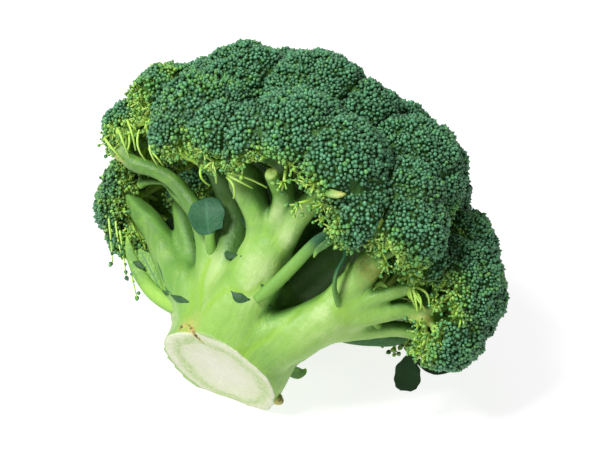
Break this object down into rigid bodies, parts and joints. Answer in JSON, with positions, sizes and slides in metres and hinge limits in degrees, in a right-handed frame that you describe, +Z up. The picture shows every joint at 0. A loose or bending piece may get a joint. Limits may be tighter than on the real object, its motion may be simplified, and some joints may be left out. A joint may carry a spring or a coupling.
{
  "type": "broccoli head",
  "caption": "Head of broccoli lying on its side: cut stalk, forking stems, domed bud clusters and a few small leaves.",
  "frame": {"origin": "on the table, under the middle of the head's box", "axes": "+Z up; the crown heads towards +Y and the cut face of the stalk towards -Y; +X to the right seen from the cut face"},
  "size_m": [0.1618, 0.1148, 0.1173],
  "materials": {
    "stalk": "satin",
    "stem": "satin",
    "buds": "matte",
    "leaf": "satin"
  },
  "bodies": {
    "root": {"stalk": "stalk", "stem_front": "stem", "stem_front_left": "stem", "stem_front_mid": "stem", "stem_front_right": "stem", "stem_right": "stem", "stem_right_upper": "stem", "stem_right_mid": "stem", "stem_right_low": "stem", "stem_right_under": "stem", "stem_left": "stem", "stem_left_inner": "stem", "stem_left_upper": "stem", "stem_left_twig": "stem", "stem_mid": "stem", "stem_centre": "stem", "stem_centre_left": "stem", "stem_centre_right": "stem", "stem_right_high": "stem", "stem_crown_left": "stem", "stem_crown_right": "stem", "stem_back": "stem", "stem_back_left": "stem", "stem_back_right": "stem", "stem_side_right": "stem", "floret_left": "buds", "floret_left_inner": "buds", "floret_upper_left": "buds", "floret_top_left": "buds", "floret_mid_left": "buds", "floret_top": "buds", "floret_front": "buds", "floret_top_right": "buds", "floret_right": "buds", "floret_right_lower": "buds", "floret_far_right": "buds", "floret_back_left": "buds", "floret_back": "buds", "floret_back_right": "buds", "floret_side_right": "buds", "floret_crown_left": "buds", "floret_crown_right": "buds", "leaf_round": "leaf", "leaf_long": "leaf", "leaf_left": "leaf", "leaf_curl": "leaf", "leaf_low": "leaf", "leaf_under": "leaf", "leaf_back": "leaf", "leaf_stub": "leaf"}
  },
  "joints": []
}
